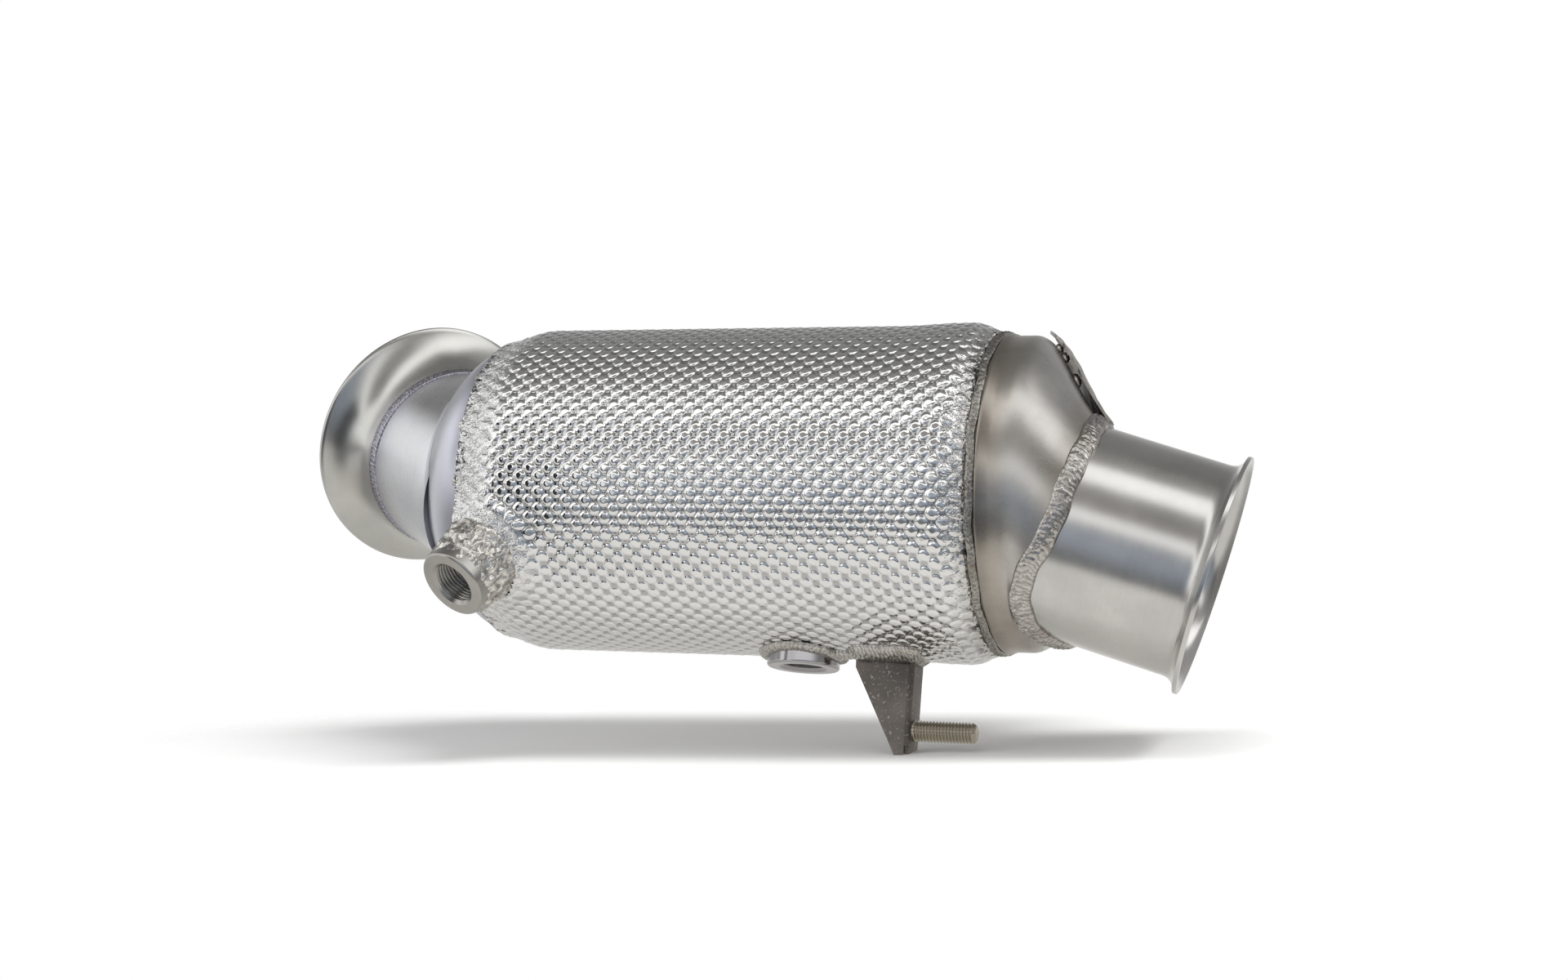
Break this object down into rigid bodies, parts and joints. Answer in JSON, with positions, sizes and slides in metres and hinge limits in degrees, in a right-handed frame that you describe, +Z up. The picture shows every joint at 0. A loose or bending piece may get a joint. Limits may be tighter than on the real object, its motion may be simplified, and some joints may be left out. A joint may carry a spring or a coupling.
{
  "type": "downpipe with catalytic converter",
  "caption": "Exhaust downpipe with a catalytic converter can, an embossed heat shield, flared inlet and outlet, sensor bosses and a hanger bracket.",
  "frame": {"origin": "centre of the inlet flange's mating face, on the inlet axis", "axes": "+X along the can axis toward the outlet, +Z up with the hanger bracket pointing down, +Y away from the side that carries the front sensor boss"},
  "size_m": [0.3918, 0.1517, 0.1807],
  "materials": {
    "flare_steel": "satin turned steel with a thin bright edge",
    "blue_bead": "rippled bead tinted blue",
    "pipe_steel": "satin steel, bluish near the beads",
    "blend_bead": "smooth blended bead",
    "dish_steel": "satin spun steel with blue and purple heat tint",
    "shell_steel": "satin steel",
    "washcoat": "matt brown washcoat on a metal honeycomb",
    "fibre": "pale fibre mat",
    "embossed_foil": "bright embossed foil",
    "burnt_bead": "dark burnt tacks",
    "cone_steel": "warm brown-grey pickled steel",
    "silver_bead": "coarse silver ripples",
    "outlet_steel": "satin brushed round the pipe",
    "boss_steel": "machined face",
    "dark_boss_steel": "dark machined steel",
    "pickled_steel": "dark pickled sheet steel",
    "plated_steel": "yellowish plated thread",
    "plate_steel": "rough grey sheet"
  },
  "bodies": {
    "root": {"inlet_flange": "flare_steel", "inlet_flange_weld": "blue_bead", "inlet_pipe": "pipe_steel", "inlet_pipe_weld": "blend_bead", "inlet_cone": "dish_steel", "converter_shell": "shell_steel", "honeycomb": "washcoat", "honeycomb_mat": "fibre", "insulation_mat": "fibre", "heat_shield": "embossed_foil", "shield_front_tacks": "burnt_bead", "shield_rear_weld": "burnt_bead", "outlet_cone": "cone_steel", "saddle_weld": "silver_bead", "outlet_pipe": "outlet_steel", "front_sensor_boss": "boss_steel", "front_boss_weld": "burnt_bead", "rear_sensor_boss": "dark_boss_steel", "rear_boss_weld": "silver_bead", "hanger_bracket": "pickled_steel", "bracket_weld": "silver_bead", "stud": "plated_steel", "cover_plate": "plate_steel", "cover_plate_tacks": "silver_bead"}
  },
  "joints": []
}
